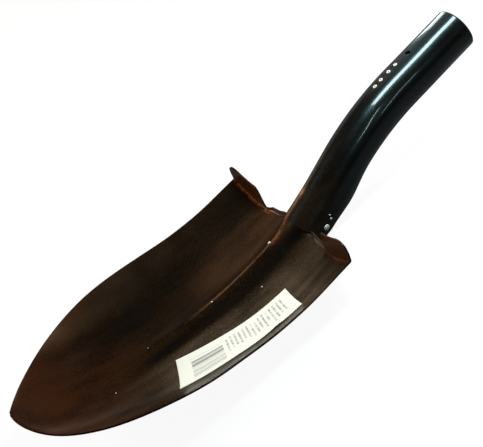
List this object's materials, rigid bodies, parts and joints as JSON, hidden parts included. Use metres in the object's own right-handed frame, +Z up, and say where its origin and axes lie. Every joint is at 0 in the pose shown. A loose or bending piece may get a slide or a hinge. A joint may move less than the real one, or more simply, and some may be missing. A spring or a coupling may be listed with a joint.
{
  "type": "digging spade head",
  "caption": "Pointed steel spade head: dished ridged blade, forward-folded treads, cranked open-back socket for a round wooden handle, weld beads and a paper label.",
  "frame": {"origin": "on the floor under the middle of the head's bounding box, the head lying on its back", "axes": "+X from the blade's point to the socket's mouth, +Y to the left tread seen from behind the point, +Z up out of the dish"},
  "size_m": [0.5056, 0.192, 0.096],
  "materials": {
    "lacquered_blade": "clear dark brown-black lacquer on rolled steel, glossy, thin towards the point",
    "lacquered_socket": "glossy blue-black lacquer on rolled steel",
    "lacquered_weld": "rippled weld bead under the same lacquer",
    "paper": null
  },
  "bodies": {
    "root": {"blade": "lacquered_blade", "socket": "lacquered_socket", "socket_seam_weld": "lacquered_weld", "neck_weld": "lacquered_weld", "paper_label": "paper"}
  },
  "joints": []
}
